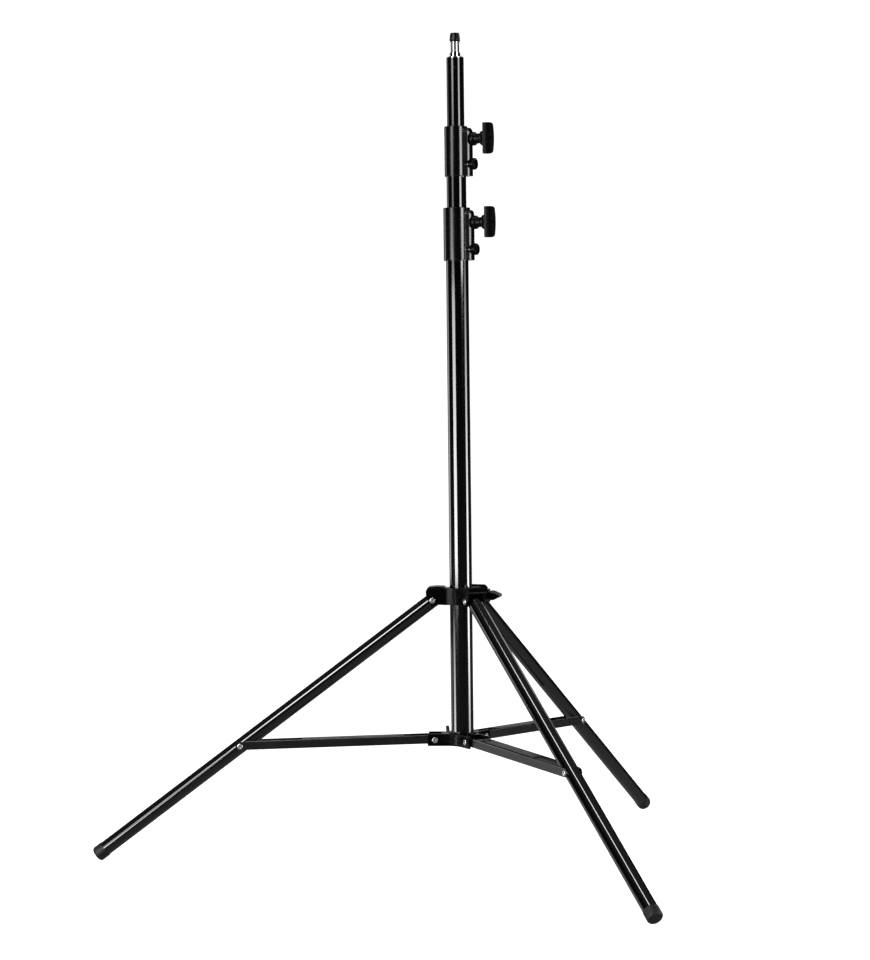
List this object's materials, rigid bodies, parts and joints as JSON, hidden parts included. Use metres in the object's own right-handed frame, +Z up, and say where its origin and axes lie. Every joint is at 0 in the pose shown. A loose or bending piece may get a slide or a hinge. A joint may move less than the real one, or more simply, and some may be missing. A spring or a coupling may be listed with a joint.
{
  "type": "light stand",
  "caption": "Black folding light stand with a telescoping three-section column, clamping knobs, a sliding hub, braced legs and a spigot stud with a cap.",
  "frame": {"origin": "on the floor, under the column axis, with the legs spread", "axes": "+Z up along the column towards the stud; the left leg points along -X and the other two at 60 degrees and 300 degrees about +Z"},
  "size_m": [0.8343, 0.9598, 1.213],
  "materials": {
    "tube_gloss_black": "gloss black anodised and lacquered aluminium tube",
    "collar_black": "semi-gloss black glass-filled nylon",
    "knob_black": "satin black moulded plastic",
    "wing_screw_black": "black oxide steel",
    "foot_black": "matte black rubbery plastic",
    "brace_black": "satin black powder-coated pressed steel",
    "nylon_natural": "natural white nylon",
    "cap_black": "satin black soft plastic",
    "chrome": "polished chrome",
    "rivet_steel": "bright zinc-plated steel",
    "nut_black": "black oxide steel",
    "zinc_steel": "zinc-plated steel",
    "screw_black": "black oxide steel",
    "brass": "turned brass"
  },
  "bodies": {
    "base": {"lower_tube": "tube_gloss_black", "lower_collar": "collar_black", "lower_collar_liner": "nylon_natural", "lower_collar_screw": "screw_black", "lower_collar_nut": "zinc_steel", "base_spider": "collar_black", "base_plug": "nylon_natural", "brace_inner_rivets": "rivet_steel"},
    "hub": {"hub_body": "collar_black", "hub_liner": "nylon_natural", "hub_nut": "zinc_steel", "leg_pivot_rivets": "rivet_steel"},
    "middle_guide": {"middle_guide": "nylon_natural"},
    "middle_section": {"middle_tube": "tube_gloss_black", "upper_collar": "collar_black", "upper_collar_liner": "nylon_natural", "upper_collar_screw": "screw_black", "upper_collar_nut": "zinc_steel"},
    "top_guide": {"top_guide": "nylon_natural"},
    "top_section": {"top_tube": "tube_gloss_black", "stud": "chrome", "stud_pin": "zinc_steel"},
    "stud_cap": {"stud_cap": "cap_black"},
    "upper_knob_pad": {"upper_knob_pad": "brass"},
    "upper_knob": {"upper_knob": "knob_black", "upper_knob_screw": "zinc_steel"},
    "lower_knob_pad": {"lower_knob_pad": "brass"},
    "lower_knob": {"lower_knob": "knob_black", "lower_knob_screw": "zinc_steel"},
    "hub_knob_pad": {"hub_knob_pad": "brass"},
    "hub_knob": {"hub_knob": "knob_black", "hub_knob_screw": "zinc_steel"},
    "base_screw_pad": {"base_screw_pad": "brass"},
    "base_screw": {"base_wing_screw": "wing_screw_black"},
    "left_leg": {"leg_tube_left": "tube_gloss_black", "leg_top_plug_left": "nylon_natural", "leg_pivot_bush_left": "zinc_steel", "leg_rivet_spacer_left": "zinc_steel", "foot_left": "foot_black"},
    "left_brace": {"brace_left": "brace_black", "brace_rivet_head_left": "rivet_steel", "brace_rivet_tail_left": "nut_black"},
    "front_leg": {"leg_tube_front": "tube_gloss_black", "leg_top_plug_front": "nylon_natural", "leg_pivot_bush_front": "zinc_steel", "leg_rivet_spacer_front": "zinc_steel", "foot_front": "foot_black"},
    "front_brace": {"brace_front": "brace_black", "brace_rivet_head_front": "rivet_steel", "brace_rivet_tail_front": "nut_black"},
    "rear_leg": {"leg_tube_rear": "tube_gloss_black", "leg_top_plug_rear": "nylon_natural", "leg_pivot_bush_rear": "zinc_steel", "leg_rivet_spacer_rear": "zinc_steel", "foot_rear": "foot_black"},
    "rear_brace": {"brace_rear": "brace_black", "brace_rivet_head_rear": "rivet_steel", "brace_rivet_tail_rear": "nut_black"}
  },
  "joints": [
    {"name": "hub_slide", "type": "slide", "parent": "base", "child": "hub", "axis": [0, 0, 1], "range_m": [0, 0.4394]},
    {"name": "left_leg_fold", "type": "hinge", "parent": "hub", "child": "left_leg", "pos_m": [-0.0413, 0, 0.3847], "axis": [0, -1, 0], "range_deg": [0, 49.05]},
    {"name": "left_brace_fold", "type": "hinge", "parent": "base", "child": "left_brace", "pos_m": [-0.0397, 0, 0.1796], "axis": [0, 1, 0], "range_deg": [0, 86.23]},
    {"name": "front_leg_fold", "type": "hinge", "parent": "hub", "child": "front_leg", "pos_m": [0.02065, -0.03577, 0.3847], "axis": [0.866, 0.5, 0], "range_deg": [0, 49.05]},
    {"name": "front_brace_fold", "type": "hinge", "parent": "base", "child": "front_brace", "pos_m": [0.01985, -0.03438, 0.1796], "axis": [-0.866, -0.5, 0], "range_deg": [0, 86.23]},
    {"name": "rear_leg_fold", "type": "hinge", "parent": "hub", "child": "rear_leg", "pos_m": [0.02065, 0.03577, 0.3847], "axis": [-0.866, 0.5, 0], "range_deg": [0, 49.05]},
    {"name": "rear_brace_fold", "type": "hinge", "parent": "base", "child": "rear_brace", "pos_m": [0.01985, 0.03438, 0.1796], "axis": [0.866, -0.5, 0], "range_deg": [0, 86.23]},
    {"name": "middle_section_slide", "type": "slide", "parent": "base", "child": "middle_guide", "axis": [0, 0, 1], "range_m": [-0.043, 0.62]},
    {"name": "middle_section_turn", "type": "hinge", "parent": "middle_guide", "child": "middle_section", "pos_m": [0, 0, 0.24], "axis": [0, 0, 1], "continuous": true},
    {"name": "top_section_slide", "type": "slide", "parent": "middle_section", "child": "top_guide", "axis": [0, 0, 1], "range_m": [-0.095, 0.62]},
    {"name": "top_section_turn", "type": "hinge", "parent": "top_guide", "child": "top_section", "pos_m": [0, 0, 0.36], "axis": [0, 0, 1], "continuous": true},
    {"name": "stud_cap_pull", "type": "slide", "parent": "top_section", "child": "stud_cap", "axis": [0, 0, 1], "range_m": [0, 0.03]},
    {"name": "upper_knob_travel", "type": "slide", "parent": "middle_section", "child": "upper_knob_pad", "axis": [0.9085, -0.4179, 0], "range_m": [0, 0.00139]},
    {"name": "upper_knob_turn", "type": "hinge", "parent": "upper_knob_pad", "child": "upper_knob", "pos_m": [0, 0, 1.0578], "axis": [0.9085, -0.4179, 0], "range_deg": [0, 400]},
    {"name": "lower_knob_travel", "type": "slide", "parent": "base", "child": "lower_knob_pad", "axis": [0.9085, -0.4179, 0], "range_m": [0, 0.00139]},
    {"name": "lower_knob_turn", "type": "hinge", "parent": "lower_knob_pad", "child": "lower_knob", "pos_m": [0, 0, 0.9365], "axis": [0.9085, -0.4179, 0], "range_deg": [0, 400]},
    {"name": "hub_knob_travel", "type": "slide", "parent": "hub", "child": "hub_knob_pad", "axis": [1, 0, 0], "range_m": [0, 0.00139]},
    {"name": "hub_knob_turn", "type": "hinge", "parent": "hub_knob_pad", "child": "hub_knob", "pos_m": [0, 0, 0.391], "axis": [1, 0, 0], "range_deg": [0, 400]},
    {"name": "base_screw_travel", "type": "slide", "parent": "base", "child": "base_screw_pad", "axis": [-0.5, 0.866, 0], "range_m": [0, 0.001]},
    {"name": "base_screw_turn", "type": "hinge", "parent": "base_screw_pad", "child": "base_screw", "pos_m": [0, 0, 0.18], "axis": [-0.5, 0.866, 0], "range_deg": [0, 360]}
  ],
  "couplings": [
    {"joint": "left_leg_fold", "follows": "hub_slide", "rad_per_m": 1.9404},
    {"joint": "left_brace_fold", "follows": "hub_slide", "rad_per_m": 3.4171},
    {"joint": "front_leg_fold", "follows": "hub_slide", "rad_per_m": 1.9404},
    {"joint": "front_brace_fold", "follows": "hub_slide", "rad_per_m": 3.4171},
    {"joint": "rear_leg_fold", "follows": "hub_slide", "rad_per_m": 1.9404},
    {"joint": "rear_brace_fold", "follows": "hub_slide", "rad_per_m": 3.4171},
    {"joint": "upper_knob_turn", "follows": "upper_knob_travel", "rad_per_m": 5026.5},
    {"joint": "lower_knob_turn", "follows": "lower_knob_travel", "rad_per_m": 5026.5},
    {"joint": "hub_knob_turn", "follows": "hub_knob_travel", "rad_per_m": 5026.5},
    {"joint": "base_screw_turn", "follows": "base_screw_travel", "rad_per_m": 6283.2}
  ]
}
